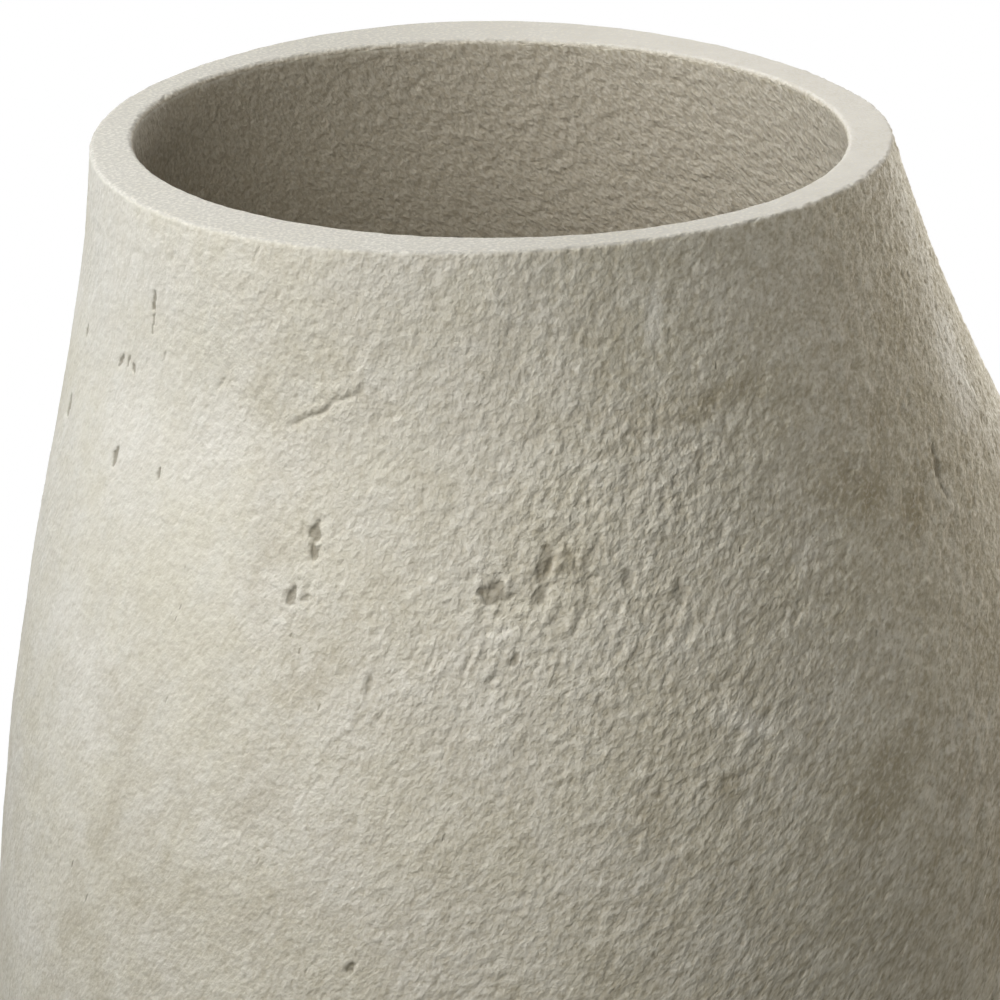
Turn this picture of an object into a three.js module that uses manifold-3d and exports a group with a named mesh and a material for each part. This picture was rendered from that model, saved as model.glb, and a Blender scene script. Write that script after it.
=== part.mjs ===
// A large clay flower pot with a lopsided, swelling body and a thick flat rim.
// The origin is on the ground under the belly's centre, +Z is up, and the mouth stands off to -X.
import * as THREE from "three";
import { mergeVertices } from "three/addons/utils/BufferGeometryUtils.js";
import Module from "manifold-3d";

const wasm = await Module();
wasm.setup();

// Driving dimensions. Lengths are in millimetres and angles in degrees.
const POT_HEIGHT = 640; // from the ground to the rim's top face
const MOUTH_RADIUS = 178.5; // outside of the rim
const MOUTH_FLARE = 10; // the wall's spread from upright, just under the rim
const MOUTH_OFFSET = 39; // how far the mouth's centre stands to the side of the belly's
const MOUTH_LEAN = 7.9; // the lean of the line through the sections' centres, at the rim
const BELLY_RADIUS = 267.8; // outside of the widest section
const BELLY_HEIGHT = 200; // the widest section, above the ground
const FOOT_RADIUS = 168; // outside of the foot ring's flat face
const FOOT_FLARE = 42; // the wall's spread from upright, where it leaves the heel
const HEEL_ROUNDING = 16; // radius between the foot ring's face and the wall
const WALL = 18.4; // thickness of the clay, square to the wall
const RIM_OUTER_ROUNDING = 4;
const RIM_INNER_ROUNDING = 3.5;
const FLOOR_THICKNESS = 24;
const FLOOR_ROUNDING = 34; // height of the rounded corner between the floor and the wall
const FOOT_RECESS = 10; // depth of the hollow inside the foot ring
const FOOT_RING_WIDTH = 46; // of the foot ring's flat face
const RECESS_DRAFT = 4; // how much wider the hollow is at its mouth
const DRAIN_RADIUS = 19;
const DRAIN_ROUNDING = 3; // of the drain hole's upper edge

const PAD_RADIUS = 16;
const PAD_LIFT = 4; // how far the pads hold the foot ring off the ground
const PAD_SOCKET = 3; // depth of the sockets that the pads are set in
const PAD_EDGE = 1; // bevel of a pad's edges
const PAD_BEARING = 225; // direction of the first pad from the origin

const PLUG_LAP = 10; // how far the flange reaches past the drain hole
const PLUG_SEAT_MARGIN = 3; // how far the floor's seat for the flange reaches past it
const PLUG_FLANGE = 4; // thickness
const PLUG_FLANGE_BEVEL = 2;
const PLUG_SHORTFALL = 3; // between the stem's end and the drain hole's lower edge
const PLUG_RIBS = 3;
const PLUG_RIB_HEIGHT = 1.3; // how far the sealing ribs stand out of the stem
const PLUG_RIB_WIDTH = 3.2;
const PLUG_WAIST_RADIUS = 7;
const PLUG_WAIST = 9; // height of the waist between flange and knob
const PLUG_WAIST_BEVEL = 2.5;
const PLUG_KNOB_RADIUS = 12;
const PLUG_KNOB = 9; // height
const PLUG_KNOB_ROUNDING = 3.5;

const CLEARANCE = 0.3; // between pieces that are set in or rest on each other

// How tautly each curve leaves its two ends, as a share of the height it spans
const UPPER_TENSION = { belly: 0.54, mouth: 0.35 };
const LEAN_TENSION = { belly: 0.51, mouth: 0.5 };
const LOWER_TENSION = { belly: 0.5, foot: 0.34 };

// Facets
const SIDES = 72;
const SMALL_SIDES = 28;
const UPPER_STEPS = 10;
const LOWER_STEPS = 7;
const EDGE_STEPS = 3;
const FLOOR_STEPS = 4;
const HEEL_STEPS = 3;
const MERGE_DISTANCE = 1e-4;

const sine = (degrees) => Math.sin(THREE.MathUtils.degToRad(degrees));
const cosine = (degrees) => Math.cos(THREE.MathUtils.degToRad(degrees));
const slopeOf = (degrees) => Math.tan(THREE.MathUtils.degToRad(degrees));

const footHeight = PAD_LIFT;
const recessHeight = footHeight + FOOT_RECESS;
const floorHeight = recessHeight + FLOOR_THICKNESS;
const heelTop = new THREE.Vector2(
  FOOT_RADIUS + HEEL_ROUNDING * cosine(FOOT_FLARE),
  footHeight + HEEL_ROUNDING * (1 - sine(FOOT_FLARE)),
);

// Outline of the body, as radius and height, from the belly to the rim and from the heel to the belly
const upperSpan = POT_HEIGHT - BELLY_HEIGHT;
const upperOutline = new THREE.CubicBezierCurve(
  new THREE.Vector2(BELLY_RADIUS, BELLY_HEIGHT),
  new THREE.Vector2(BELLY_RADIUS, BELLY_HEIGHT + UPPER_TENSION.belly * upperSpan),
  new THREE.Vector2(
    MOUTH_RADIUS + slopeOf(MOUTH_FLARE) * UPPER_TENSION.mouth * upperSpan,
    POT_HEIGHT - UPPER_TENSION.mouth * upperSpan,
  ),
  new THREE.Vector2(MOUTH_RADIUS, POT_HEIGHT),
);
const lowerSpan = BELLY_HEIGHT - heelTop.y;
const lowerOutline = new THREE.CubicBezierCurve(
  heelTop,
  new THREE.Vector2(
    heelTop.x + slopeOf(FOOT_FLARE) * LOWER_TENSION.foot * lowerSpan,
    heelTop.y + LOWER_TENSION.foot * lowerSpan,
  ),
  new THREE.Vector2(BELLY_RADIUS, BELLY_HEIGHT - LOWER_TENSION.belly * lowerSpan),
  new THREE.Vector2(BELLY_RADIUS, BELLY_HEIGHT),
);

// Line through the centres of the body's round sections, as sideways shift and height
const leanLine = new THREE.CubicBezierCurve(
  new THREE.Vector2(0, BELLY_HEIGHT),
  new THREE.Vector2(0, BELLY_HEIGHT + LEAN_TENSION.belly * upperSpan),
  new THREE.Vector2(
    -MOUTH_OFFSET + slopeOf(MOUTH_LEAN) * LEAN_TENSION.mouth * upperSpan,
    POT_HEIGHT - LEAN_TENSION.mouth * upperSpan,
  ),
  new THREE.Vector2(-MOUTH_OFFSET, POT_HEIGHT),
);

// Where a curve that climbs from end to end passes a height
function parameterAt(curve, height) {
  let low = 0;
  let high = 1;
  for (let halving = 0; halving < 40; halving += 1) {
    const middle = (low + high) / 2;
    if (curve.getPoint(middle).y < height) low = middle;
    else high = middle;
  }
  return (low + high) / 2;
}

function leanAt(height) {
  if (height <= BELLY_HEIGHT) return 0;
  return leanLine.getPoint(parameterAt(leanLine, height)).x;
}

// A point of the body's outline, or of a surface that lies deeper in the clay
function wallPoint(height, depth = 0) {
  const outline = height > BELLY_HEIGHT ? upperOutline : lowerOutline;
  const parameter = parameterAt(outline, height);
  const steepness = Math.abs(outline.getTangent(parameter).y);
  return new THREE.Vector2(outline.getPoint(parameter).x - depth / steepness, height);
}

// Points of a round edge, where the direction square to the surface turns from one angle to another
function roundEdge(centre, radius, fromDegrees, toDegrees, steps) {
  return Array.from({ length: steps + 1 }, (_, step) => {
    const angle = fromDegrees + ((toDegrees - fromDegrees) * step) / steps;
    return new THREE.Vector2(centre.x + radius * cosine(angle), centre.y + radius * sine(angle));
  });
}

// Only the positions, with the points that faces share written once
function merged(geometry) {
  geometry.deleteAttribute("normal");
  geometry.deleteAttribute("uv");
  return mergeVertices(geometry, MERGE_DISTANCE);
}

// A closed ring or a solid of revolution about +Z from a profile of radius and height
function revolve(profile, sides) {
  return merged(new THREE.LatheGeometry(profile, sides).rotateX(Math.PI / 2));
}

// Slides each section of the body sideways, onto the line through the sections' centres
function leanOver(geometry) {
  const position = geometry.getAttribute("position");
  for (let i = 0; i < position.count; i += 1) {
    position.setX(i, position.getX(i) + leanAt(position.getZ(i)));
  }
  return geometry;
}

function toSolid(geometry) {
  return new wasm.Manifold(
    new wasm.Mesh({
      numProp: 3,
      vertProperties: geometry.getAttribute("position").array,
      triVerts: Uint32Array.from(geometry.getIndex().array),
    }),
  );
}

function toGeometry(solid) {
  const mesh = solid.getMesh();
  const geometry = new THREE.BufferGeometry();
  geometry.setAttribute("position", new THREE.BufferAttribute(mesh.vertProperties, mesh.numProp));
  geometry.setIndex(new THREE.BufferAttribute(mesh.triVerts, 1));
  geometry.computeVertexNormals();
  return geometry;
}

// The clay body's profile, from the drain hole's lower edge round the foot, up the outside
// and down the inside
function shellProfile() {
  const ringInner = FOOT_RADIUS - FOOT_RING_WIDTH;
  const foot = [
    new THREE.Vector2(DRAIN_RADIUS, recessHeight),
    new THREE.Vector2(ringInner - RECESS_DRAFT, recessHeight),
    new THREE.Vector2(ringInner, footHeight),
  ];
  const heelCentre = new THREE.Vector2(FOOT_RADIUS, footHeight + HEEL_ROUNDING);
  const heel = roundEdge(heelCentre, HEEL_ROUNDING, -90, -FOOT_FLARE, HEEL_STEPS);
  const lower = lowerOutline.getPoints(LOWER_STEPS).slice(1);

  const outerEdgeStart = POT_HEIGHT - RIM_OUTER_ROUNDING * (1 - sine(MOUTH_FLARE));
  const outerEdgeCentre = new THREE.Vector2(
    wallPoint(outerEdgeStart).x - RIM_OUTER_ROUNDING * cosine(MOUTH_FLARE),
    POT_HEIGHT - RIM_OUTER_ROUNDING,
  );
  const outerEdge = roundEdge(outerEdgeCentre, RIM_OUTER_ROUNDING, MOUTH_FLARE, 90, EDGE_STEPS);
  const upper = upperOutline.getPoints(UPPER_STEPS).slice(1, -1);

  const innerEdgeEnd = POT_HEIGHT - RIM_INNER_ROUNDING * (1 + sine(MOUTH_FLARE));
  const innerEdgeCentre = new THREE.Vector2(
    wallPoint(innerEdgeEnd, WALL).x + RIM_INNER_ROUNDING * cosine(MOUTH_FLARE),
    POT_HEIGHT - RIM_INNER_ROUNDING,
  );
  const innerEdge = roundEdge(innerEdgeCentre, RIM_INNER_ROUNDING, 90, 180 + MOUTH_FLARE, EDGE_STEPS);

  const cornerTop = floorHeight + FLOOR_ROUNDING;
  const inner = [...lower, ...upper]
    .map((point) => point.y)
    .filter((height) => height > cornerTop + WALL / 2)
    .reverse()
    .map((height) => wallPoint(height, WALL));
  const cornerStart = wallPoint(cornerTop, WALL);
  const cornerSlope = wallPoint(cornerTop + 1, WALL).x - cornerStart.x;
  const corner = new THREE.QuadraticBezierCurve(
    cornerStart,
    new THREE.Vector2(cornerStart.x - cornerSlope * FLOOR_ROUNDING, floorHeight),
    new THREE.Vector2(cornerStart.x - (1 + cornerSlope) * FLOOR_ROUNDING, floorHeight),
  ).getPoints(FLOOR_STEPS);

  const seatEdge = new THREE.Vector2(DRAIN_RADIUS + PLUG_LAP + PLUG_SEAT_MARGIN, floorHeight);
  const drainEdge = roundEdge(
    new THREE.Vector2(DRAIN_RADIUS + DRAIN_ROUNDING, floorHeight - DRAIN_ROUNDING),
    DRAIN_ROUNDING,
    90,
    180,
    EDGE_STEPS,
  );
  const outside = [...foot, ...heel, ...lower, ...upper, ...outerEdge];
  const inside = [...innerEdge, ...inner, ...corner, seatEdge, ...drainEdge];
  return [...outside, ...inside, foot[0]];
}

// The four pads stand in the middle of the foot ring, a quarter turn apart
const padPlaces = ["front_left", "front_right", "back_right", "back_left"].map((corner, turn) => {
  const bearing = PAD_BEARING + 90 * turn;
  const reach = FOOT_RADIUS - FOOT_RING_WIDTH / 2;
  return { corner, x: reach * cosine(bearing), y: reach * sine(bearing) };
});

function potShell() {
  let shell = toSolid(leanOver(revolve(shellProfile(), SIDES)));
  for (const place of padPlaces) {
    const socket = new THREE.CylinderGeometry(
      PAD_RADIUS + CLEARANCE,
      PAD_RADIUS + CLEARANCE,
      2 * PAD_SOCKET,
      SMALL_SIDES,
    );
    socket.rotateX(Math.PI / 2).translate(place.x, place.y, footHeight);
    shell = shell.subtract(toSolid(merged(socket)));
  }
  return toGeometry(shell);
}

// A round rubber pad with bevelled edges, standing on the ground
function footPad() {
  const thickness = PAD_LIFT + PAD_SOCKET - CLEARANCE;
  return revolve(
    [
      new THREE.Vector2(0, 0),
      new THREE.Vector2(PAD_RADIUS - PAD_EDGE, 0),
      new THREE.Vector2(PAD_RADIUS, PAD_EDGE),
      new THREE.Vector2(PAD_RADIUS, thickness - PAD_EDGE),
      new THREE.Vector2(PAD_RADIUS - PAD_EDGE, thickness),
      new THREE.Vector2(0, thickness),
    ],
    SMALL_SIDES,
  );
}

// A rubber bung: a ribbed stem, a flange that lies on the floor, and a knob to pull it by
function drainPlug() {
  const ribRadius = DRAIN_RADIUS - CLEARANCE;
  const stemRadius = ribRadius - PLUG_RIB_HEIGHT;
  const stemLength = FLOOR_THICKNESS - PLUG_SHORTFALL;
  const ribPitch = stemLength / (PLUG_RIBS + 1);
  const stem = [
    new THREE.Vector2(0, -stemLength),
    new THREE.Vector2(stemRadius - PLUG_RIB_HEIGHT, -stemLength),
  ];
  for (let rib = 1; rib <= PLUG_RIBS; rib += 1) {
    const crest = -stemLength + rib * ribPitch;
    stem.push(
      new THREE.Vector2(stemRadius, crest - PLUG_RIB_WIDTH / 2),
      new THREE.Vector2(ribRadius, crest),
      new THREE.Vector2(stemRadius, crest + PLUG_RIB_WIDTH / 2),
    );
  }
  const flangeRadius = DRAIN_RADIUS + PLUG_LAP;
  const flangeTop = CLEARANCE + PLUG_FLANGE;
  const flange = [
    new THREE.Vector2(stemRadius, CLEARANCE),
    new THREE.Vector2(flangeRadius, CLEARANCE),
    new THREE.Vector2(flangeRadius, flangeTop - PLUG_FLANGE_BEVEL),
    new THREE.Vector2(flangeRadius - PLUG_FLANGE_BEVEL, flangeTop),
  ];
  const knobFoot = flangeTop + PLUG_WAIST;
  const knobTop = knobFoot + PLUG_KNOB;
  const waist = [
    new THREE.Vector2(PLUG_WAIST_RADIUS + PLUG_WAIST_BEVEL, flangeTop),
    new THREE.Vector2(PLUG_WAIST_RADIUS, flangeTop + PLUG_WAIST_BEVEL),
    new THREE.Vector2(PLUG_WAIST_RADIUS, knobFoot),
  ];
  const edgeAt = (height) => new THREE.Vector2(PLUG_KNOB_RADIUS - PLUG_KNOB_ROUNDING, height);
  const knob = [
    ...roundEdge(edgeAt(knobFoot + PLUG_KNOB_ROUNDING), PLUG_KNOB_ROUNDING, -90, 0, EDGE_STEPS),
    ...roundEdge(edgeAt(knobTop - PLUG_KNOB_ROUNDING), PLUG_KNOB_ROUNDING, 0, 90, EDGE_STEPS),
    new THREE.Vector2(0, knobTop),
  ];
  return revolve([...stem, ...flange, ...waist, ...knob], SMALL_SIDES);
}

const clay = new THREE.MeshStandardMaterial({ color: "#c9c4b6", roughness: 0.95, metalness: 0 });
const rubber = new THREE.MeshStandardMaterial({ color: "#2f2e2c", roughness: 0.8, metalness: 0 });

function place(name, geometry, material, x = 0, y = 0, z = 0) {
  const mesh = new THREE.Mesh(geometry, material);
  mesh.name = name;
  mesh.position.set(x, y, z);
  return mesh;
}

const pot = new THREE.Group();
pot.add(place("pot_shell", potShell(), clay));
pot.add(place("drain_plug", drainPlug(), rubber, 0, 0, floorHeight));
for (const { corner, x, y } of padPlaces) pot.add(place(`foot_pad_${corner}`, footPad(), rubber, x, y));

export default pot;
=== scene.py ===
"""The looks of a large clay flower pot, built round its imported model.

Lengths are in metres, and named angles are in degrees.
"""

import math
from collections import namedtuple

import bpy
import numpy as np
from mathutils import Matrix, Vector
from mathutils.geometry import delaunay_2d_cdt


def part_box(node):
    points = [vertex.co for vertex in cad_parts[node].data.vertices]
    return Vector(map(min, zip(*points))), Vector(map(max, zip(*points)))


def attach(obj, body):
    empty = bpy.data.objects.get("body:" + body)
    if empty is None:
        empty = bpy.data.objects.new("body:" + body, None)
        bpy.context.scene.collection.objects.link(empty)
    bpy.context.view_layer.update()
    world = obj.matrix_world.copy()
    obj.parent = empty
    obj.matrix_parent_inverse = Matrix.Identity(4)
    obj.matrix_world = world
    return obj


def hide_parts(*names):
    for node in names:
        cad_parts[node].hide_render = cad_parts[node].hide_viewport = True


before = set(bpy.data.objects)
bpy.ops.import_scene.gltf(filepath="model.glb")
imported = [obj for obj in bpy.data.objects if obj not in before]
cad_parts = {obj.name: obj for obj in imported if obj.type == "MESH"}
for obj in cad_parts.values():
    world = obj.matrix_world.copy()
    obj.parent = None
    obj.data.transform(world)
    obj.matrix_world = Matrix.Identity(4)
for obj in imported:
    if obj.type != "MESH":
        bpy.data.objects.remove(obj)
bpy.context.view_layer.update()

# The pot's form, as packed but for tighter roundings at the rim and a wall 1 mm thicker
POT_HEIGHT = 0.640
MOUTH_RADIUS = 0.1785
MOUTH_FLARE = 10.0
MOUTH_OFFSET = 0.039
MOUTH_LEAN = 7.9
BELLY_RADIUS = 0.2678
BELLY_HEIGHT = 0.200
FOOT_RADIUS = 0.168
FOOT_FLARE = 42.0
FOOT_HEIGHT = 0.004
HEEL_ROUNDING = 0.016
WALL = 0.0194
RIM_OUTER_ROUNDING = 0.0025
RIM_INNER_ROUNDING = 0.0025
RECESS_HEIGHT = 0.014
FLOOR_HEIGHT = 0.038
FLOOR_ROUNDING = 0.034
FOOT_RING_WIDTH = 0.046
RECESS_DRAFT = 0.004
DRAIN_RADIUS = 0.019
DRAIN_ROUNDING = 0.003
UPPER_TENSION = (0.54, 0.35)
LEAN_TENSION = (0.51, 0.50)
LOWER_TENSION = (0.34, 0.50)
SOCKET_RADIUS = 0.0163
SOCKET_DEPTH = 0.003
PAD_BEARINGS = (225, 315, 45, 135)

# The rim's outer edge isn't quite round. It stands out past the even wall by these waves, each with its
# number of crests round the pot, its height and the bearing of a crest.
RIM_WAVES = (
    (0, 0.0033, 0),
    (1, 0.0026, 110),
    (2, 0.0062, 70),
    (3, 0.0040, -19),
    (4, 0.0012, -6),
    (5, 0.0007, 19),
)
RIM_FADE = 0.10

# The clay's mesh. Its columns crowd towards the front, and half of them go on deeper inside.
COLUMNS = 800
FRONT_CROWDING = 0.42
UPPER_STEP = 0.00115
LOWER_STEP = 0.0026
FINE_FROM_HEIGHT = 0.26
INNER_STEP = 0.0016
INNER_FINE_DEPTH = 0.19
DEEP_STEP = 0.0060
RIM_STEP = 0.0014
HEEL_POINTS = 7
RIM_ROUNDING_POINTS = 8
FLOOR_CORNER_POINTS = 12
DRAIN_ROUNDING_POINTS = 5
RECESS_DRAFT_POINTS = 5
TINY = 1e-9

# The camera, from the photograph's outline of the mouth and the body
CAMERA_PLACE = (-0.0343, -2.8861, 1.4649)
CAMERA_PITCH = 19.076
CAMERA_LENS = 242.06
CAMERA_SENSOR = 36.0
CAMERA_REACH = 60


def slope_of(degrees):
    return math.tan(math.radians(degrees))


def wrapped(angle):
    """The same direction in radians, from -pi to pi."""
    return (angle + math.pi) % (2 * math.pi) - math.pi


def ease_between(low, high, value):
    t = np.clip((value - low) / (high - low), 0, 1)
    return t * t * (3 - 2 * t)


class Outline:
    """A cubic curve of radius, or of sideways shift, over height, which climbs from end to end."""

    SAMPLES = 2001

    def __init__(self, *corners):
        start, first, second, end = (np.array(corner, float)[:, None] for corner in corners)
        t = np.linspace(0, 1, self.SAMPLES)
        u = 1 - t
        curve = u**3 * start + 3 * t * u**2 * first + 3 * t**2 * u * second + t**3 * end
        self.values, self.heights = curve
        self.slopes = np.gradient(self.values, self.heights)

    def at(self, height):
        return np.interp(height, self.heights, self.values)

    def slope(self, height):
        return np.interp(height, self.heights, self.slopes)


def climb(low, low_slope, high, high_slope, tensions):
    """The outline from a low place to a high one, with its slope and the curve's tension at each."""
    low, high = np.array(low, float), np.array(high, float)
    span = high[1] - low[1]
    first = low + tensions[0] * span * np.array([low_slope, 1])
    second = high - tensions[1] * span * np.array([high_slope, 1])
    return Outline(low, first, second, high)


HEEL_TOP = (
    FOOT_RADIUS + HEEL_ROUNDING * math.cos(math.radians(FOOT_FLARE)),
    FOOT_HEIGHT + HEEL_ROUNDING * (1 - math.sin(math.radians(FOOT_FLARE))),
)
BELLY = (BELLY_RADIUS, BELLY_HEIGHT)
MOUTH = (MOUTH_RADIUS, POT_HEIGHT)
upper_outline = climb(BELLY, 0, MOUTH, -slope_of(MOUTH_FLARE), UPPER_TENSION)
lower_outline = climb(HEEL_TOP, slope_of(FOOT_FLARE), BELLY, 0, LOWER_TENSION)
lean_line = climb((0, BELLY_HEIGHT), 0, (-MOUTH_OFFSET, POT_HEIGHT), -slope_of(MOUTH_LEAN), LEAN_TENSION)


def wall_slope(height):
    above = np.asarray(height) > BELLY_HEIGHT
    return np.where(above, upper_outline.slope(height), lower_outline.slope(height))


def wall_radius(height, depth=0.0):
    """Radius of the outside at a height, or of a surface that lies deeper in the clay."""
    above = np.asarray(height) > BELLY_HEIGHT
    radius = np.where(above, upper_outline.at(height), lower_outline.at(height))
    return radius - depth * np.sqrt(1 + wall_slope(height) ** 2)


def lean_at(height):
    return np.where(np.asarray(height) > BELLY_HEIGHT, lean_line.at(height), 0.0)


def rim_reach(bearing):
    """How far the rim's outer edge stands out past the even wall at a bearing in radians."""
    waves = [
        height * np.cos(crests * (bearing - math.radians(crest))) for crests, height, crest in RIM_WAVES
    ]
    return np.sum(waves, axis=0)


def steps_between(start, end, step):
    """Heights or radii from start to end, both included, about a step apart."""
    return np.linspace(start, end, max(2, round(abs(end - start) / step) + 1))


def pairs(radii, heights):
    return np.stack(np.broadcast_arrays(radii, heights), 1).astype(float)


def round_edge(centre, radius, start, end, count):
    """Radius and height along a round edge, while the direction out of it turns from start to end."""
    turn = np.radians(np.linspace(start, end, count))
    return pairs(centre[0] + radius * np.cos(turn), centre[1] + radius * np.sin(turn))


def outside_profile():
    """Radius and height from the foot ring's outer edge up the wall and over the rim's inner edge."""
    heel_centre = (FOOT_RADIUS, FOOT_HEIGHT + HEEL_ROUNDING)
    heel = round_edge(heel_centre, HEEL_ROUNDING, -90, -FOOT_FLARE, HEEL_POINTS)
    lower = steps_between(HEEL_TOP[1], FINE_FROM_HEIGHT, LOWER_STEP)[1:]
    tilt = math.sin(math.radians(MOUTH_FLARE))
    reach = math.cos(math.radians(MOUTH_FLARE))
    outer_foot = POT_HEIGHT - RIM_OUTER_ROUNDING * (1 - tilt)
    upper = steps_between(FINE_FROM_HEIGHT, outer_foot, UPPER_STEP)[1:-1]
    outer_centre = (
        float(wall_radius(outer_foot)) - RIM_OUTER_ROUNDING * reach,
        POT_HEIGHT - RIM_OUTER_ROUNDING,
    )
    inner_foot = POT_HEIGHT - RIM_INNER_ROUNDING * (1 + tilt)
    inner_centre = (
        float(wall_radius(inner_foot, WALL)) + RIM_INNER_ROUNDING * reach,
        POT_HEIGHT - RIM_INNER_ROUNDING,
    )
    rim = steps_between(outer_centre[0], inner_centre[0], RIM_STEP)[1:-1]
    profile = [
        heel,
        pairs(wall_radius(lower), lower),
        pairs(wall_radius(upper), upper),
        round_edge(outer_centre, RIM_OUTER_ROUNDING, MOUTH_FLARE, 90, RIM_ROUNDING_POINTS),
        pairs(rim, POT_HEIGHT),
        round_edge(inner_centre, RIM_INNER_ROUNDING, 90, 180 + MOUTH_FLARE, RIM_ROUNDING_POINTS),
    ]
    return np.concatenate(profile)


def inside_profile(start_height):
    """Radius and height down the inner wall and over the floor to the drain hole's lower end."""
    corner_top = FLOOR_HEIGHT + FLOOR_ROUNDING
    fine_end = POT_HEIGHT - INNER_FINE_DEPTH
    fine = steps_between(start_height, fine_end, INNER_STEP)[1:]
    deep = steps_between(fine_end, corner_top, DEEP_STEP)[1:]
    wall = np.concatenate([fine, deep])
    start = float(wall_radius(corner_top, WALL))
    slope = float(wall_slope(corner_top))
    t = np.linspace(0, 1, FLOOR_CORNER_POINTS)[1:, None]
    corner = (
        (1 - t) ** 2 * np.array([[start, corner_top]])
        + 2 * t * (1 - t) * np.array([[start - slope * FLOOR_ROUNDING, FLOOR_HEIGHT]])
        + t**2 * np.array([[start - (1 + slope) * FLOOR_ROUNDING, FLOOR_HEIGHT]])
    )
    floor = steps_between(corner[-1, 0], DRAIN_RADIUS + DRAIN_ROUNDING, DEEP_STEP)[1:-1]
    drain_centre = (DRAIN_RADIUS + DRAIN_ROUNDING, FLOOR_HEIGHT - DRAIN_ROUNDING)
    hole = steps_between(FLOOR_HEIGHT - DRAIN_ROUNDING, RECESS_HEIGHT, DEEP_STEP)[1:]
    profile = [
        pairs(wall_radius(wall, WALL), wall),
        corner,
        pairs(floor, FLOOR_HEIGHT),
        round_edge(drain_centre, DRAIN_ROUNDING, 90, 180, DRAIN_ROUNDING_POINTS),
        pairs(DRAIN_RADIUS, hole),
    ]
    return np.concatenate(profile)


def recess_profile():
    """Radius and height under the foot, from the drain hole to the foot ring's inner edge."""
    ring_inner = FOOT_RADIUS - FOOT_RING_WIDTH
    flat = steps_between(DRAIN_RADIUS, ring_inner - RECESS_DRAFT, DEEP_STEP)[1:]
    draft = np.linspace(0, 1, RECESS_DRAFT_POINTS)[1:]
    heights = RECESS_HEIGHT + (FOOT_HEIGHT - RECESS_HEIGHT) * draft
    side = pairs(ring_inner - RECESS_DRAFT * (1 - draft), heights)
    return np.concatenate([pairs(flat, RECESS_HEIGHT), side])


def round_trip(turn):
    """Directions from the axis at turns in radians."""
    return np.stack([np.cos(turn), np.sin(turn)], 1)


def profile_normals(profile):
    """The direction out of the clay, outward and upward, along a profile with the clay to its left."""
    before = np.diff(profile, axis=0, prepend=profile[:1])
    after = np.diff(profile, axis=0, append=profile[-1:])
    along = sum(
        part / np.maximum(np.linalg.norm(part, axis=1), TINY)[:, None] for part in (before, after)
    )
    along /= np.linalg.norm(along, axis=1)[:, None]
    return np.stack([along[:, 1], -along[:, 0]], 1)


# The noise's random slopes, the numbers that mix up a corner's place to pick one, and its height
GRADIENTS = 256
PLACE_FACTORS = np.array([73856093, 19349663, 83492791])
MIXING_FACTOR = 1274126177
MIXING_SHIFTS = (13, 8)
LOW_BITS = 0xFFFFFFFF
NOISE_HEIGHT = 1.6


def gradient_noise(points, cell, seed):
    """Smooth noise of about -1 to 1, from a random slope at each corner of a cubic lattice."""
    slopes = np.random.default_rng(seed).normal(size=(GRADIENTS, 3))
    slopes /= np.linalg.norm(slopes, axis=1, keepdims=True)
    place = points / cell
    low = np.floor(place)
    part = place - low
    low = low.astype(np.int64)
    ease = part**3 * (part * (6 * part - 15) + 10)
    total = np.zeros(len(points))
    for corner in np.ndindex(2, 2, 2):
        key = (low + corner) @ PLACE_FACTORS
        key = ((key ^ (key >> MIXING_SHIFTS[0])) * MIXING_FACTOR) & LOW_BITS
        weight = np.prod(np.where(np.array(corner) == 1, ease, 1 - ease), axis=1)
        slope = slopes[(key >> MIXING_SHIFTS[1]) % GRADIENTS]
        total += weight * np.einsum("ij,ij->i", slope, part - corner)
    return total * NOISE_HEIGHT


def layered_noise(points, cell, seed, layers):
    total = np.zeros(len(points))
    for layer in range(layers):
        total += gradient_noise(points, cell / 2**layer, seed + layer) / 2**layer
    return total


# The wall's marks lean to the right: how far they turn round the pot over a metre of height, in radians,
# and their length to their width
GRAIN_TURN = 1.55
GRAIN_STRETCH = 1.16

# How much flatter the grain lies on the outside's right, the bearings between which that grows and fades,
# and the depths below the rim between which it ends
GRAIN_FLATTENING = 0.6
FLATTENING_GROWS = (-88, 5)
FLATTENING_FADES = (60, 160)
FLATTENING_ENDS = (0.2, 0.9)


def grain_place(bearing, radius, height, outside):
    """Coordinates twisted round the pot and scaled in height, in which noise leans and is drawn out."""
    turned = bearing - GRAIN_TURN * height
    degrees = np.degrees(wrapped(bearing))
    depth = POT_HEIGHT - height
    flatter = ease_between(*FLATTENING_GROWS, degrees) * (1 - ease_between(*FLATTENING_FADES, degrees))
    flatter = flatter * outside * (1 - ease_between(*FLATTENING_ENDS, depth))
    level = POT_HEIGHT - depth * (1 + GRAIN_FLATTENING * flatter)
    return np.stack([radius * np.cos(turned), radius * np.sin(turned), level / GRAIN_STRETCH], 1)


OUTSIDE, RIM, INSIDE, UNDER = range(4)

# The UV map: one strip for the outside, one for the inner wall, and discs for the floor and the foot
MAP_EDGE = 0.005
MAP_GAP = 0.010
MAP_SCALE = (1 - 2 * MAP_EDGE) / (2 * math.pi * BELLY_RADIUS)
DISC_SCALE = 0.52
FLOOR_DISC = (0.30, 0.90)
FOOT_DISC = (0.10, 0.90)
HOLE_SHARE = 0.3
SOCKET_SIDES = 40
SOCKET_MAP_SHRINK = 0.85
JOINING_DISTANCE = 1e-7


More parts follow.
